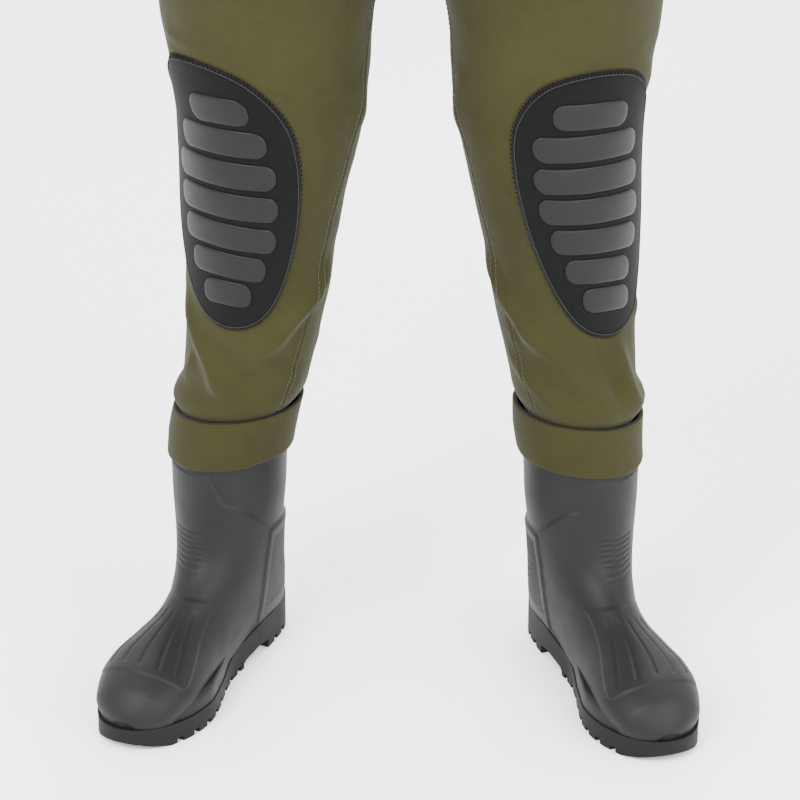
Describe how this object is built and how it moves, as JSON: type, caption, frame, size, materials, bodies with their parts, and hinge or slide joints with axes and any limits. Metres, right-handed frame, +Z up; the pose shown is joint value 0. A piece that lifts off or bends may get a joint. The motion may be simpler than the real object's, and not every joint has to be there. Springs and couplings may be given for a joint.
{
  "type": "chest waders",
  "caption": "Chest waders with bib, braces and belt, padded ribbed knees, turned ankle cuffs and moulded boots, bending at the knees",
  "frame": {"origin": "on the floor, midway between the two boots and midway from toe to back", "axes": "+Z up, wearer faces -Y, wearer's left is +X"},
  "size_m": [0.5666, 0.3633, 1.5112],
  "materials": {
    "jersey_neoprene": "matte",
    "cuff_neoprene": "matte",
    "pad_fabric": "matte",
    "pad_bars": "satin",
    "boot_shell": "matte",
    "outsole_rubber": "matte",
    "insole_foam": "matte",
    "webbing": "matte",
    "buckle_plastic": "satin",
    "hook_and_loop": "matte",
    "ring_metal": "satin"
  },
  "bodies": {
    "suit": {"left_front_panel": "jersey_neoprene", "right_front_panel": "jersey_neoprene", "left_back_panel": "jersey_neoprene", "right_back_panel": "jersey_neoprene", "left_knee_front": "jersey_neoprene", "right_knee_front": "jersey_neoprene", "left_knee_back": "jersey_neoprene", "right_knee_back": "jersey_neoprene", "left_knee_pad": "pad_fabric", "right_knee_pad": "pad_fabric", "left_knee_bars": "pad_bars", "right_knee_bars": "pad_bars", "left_strap": "webbing", "right_strap": "webbing", "left_strap_lead": "webbing", "right_strap_lead": "webbing", "left_strap_anchor": "webbing", "right_strap_anchor": "webbing", "left_buckle_socket": "buckle_plastic", "right_buckle_socket": "buckle_plastic", "top_binding": "webbing", "back_yoke": "pad_fabric", "chest_pocket": "jersey_neoprene", "pocket_loop_patch": "hook_and_loop", "flap_hinge_strip": "jersey_neoprene", "belt_webbing": "webbing", "belt_tail": "webbing", "belt_loops": "webbing", "belt_buckle_socket": "buckle_plastic", "d_ring_tab": "webbing"},
    "left_shank": {"left_shin_front": "jersey_neoprene", "left_shin_back": "jersey_neoprene", "left_cuff": "cuff_neoprene", "left_boot_upper": "boot_shell", "left_outsole": "outsole_rubber", "left_insole": "insole_foam"},
    "left_clip": {"left_buckle_prong": "buckle_plastic"},
    "left_adjuster": {"left_strap_slider": "buckle_plastic"},
    "right_shank": {"right_shin_front": "jersey_neoprene", "right_shin_back": "jersey_neoprene", "right_cuff": "cuff_neoprene", "right_boot_upper": "boot_shell", "right_outsole": "outsole_rubber", "right_insole": "insole_foam"},
    "right_clip": {"right_buckle_prong": "buckle_plastic"},
    "right_adjuster": {"right_strap_slider": "buckle_plastic"},
    "belt_clip": {"belt_buckle_prong": "buckle_plastic"},
    "flap": {"pocket_flap": "jersey_neoprene", "flap_hook_patch": "hook_and_loop"},
    "ring": {"d_ring": "ring_metal"}
  },
  "joints": [
    {"name": "left_knee", "type": "hinge", "parent": "suit", "child": "left_shank", "pos_m": [0.131, 0.0227, 0.51], "axis": [0.9903, 0.1392, 0], "range_deg": [0, 90], "deforming": ["left_knee_front", "left_knee_back", "left_knee_pad", "left_knee_bars"]},
    {"name": "right_knee", "type": "hinge", "parent": "suit", "child": "right_shank", "pos_m": [-0.131, 0.0227, 0.51], "axis": [0.9903, -0.1392, 0], "range_deg": [0, 90], "deforming": ["right_knee_front", "right_knee_back", "right_knee_pad", "right_knee_bars"]},
    {"name": "left_clip_release", "type": "slide", "parent": "suit", "child": "left_clip", "axis": [0, 0, 1], "range_m": [0, 0.026], "deforming": ["left_strap_lead"]},
    {"name": "right_clip_release", "type": "slide", "parent": "suit", "child": "right_clip", "axis": [0, 0, 1], "range_m": [0, 0.026], "deforming": ["right_strap_lead"]},
    {"name": "left_brace_adjust", "type": "slide", "parent": "suit", "child": "left_adjuster", "axis": [0, 0, 1], "range_m": [-0.04, 0.04]},
    {"name": "right_brace_adjust", "type": "slide", "parent": "suit", "child": "right_adjuster", "axis": [0, 0, 1], "range_m": [-0.04, 0.04]},
    {"name": "belt_release", "type": "slide", "parent": "suit", "child": "belt_clip", "axis": [1, 0, 0], "range_m": [0, 0.026], "deforming": ["belt_tail"]},
    {"name": "flap_lift", "type": "hinge", "parent": "suit", "child": "flap", "pos_m": [0, -0.1047, 1.2955], "axis": [-1, 0, 0], "range_deg": [0, 90]},
    {"name": "ring_swing", "type": "hinge", "parent": "suit", "child": "ring", "pos_m": [0.11395, -0.08486, 1.196], "axis": [-0.9205, -0.3907, 0], "range_deg": [0, 150]}
  ]
}
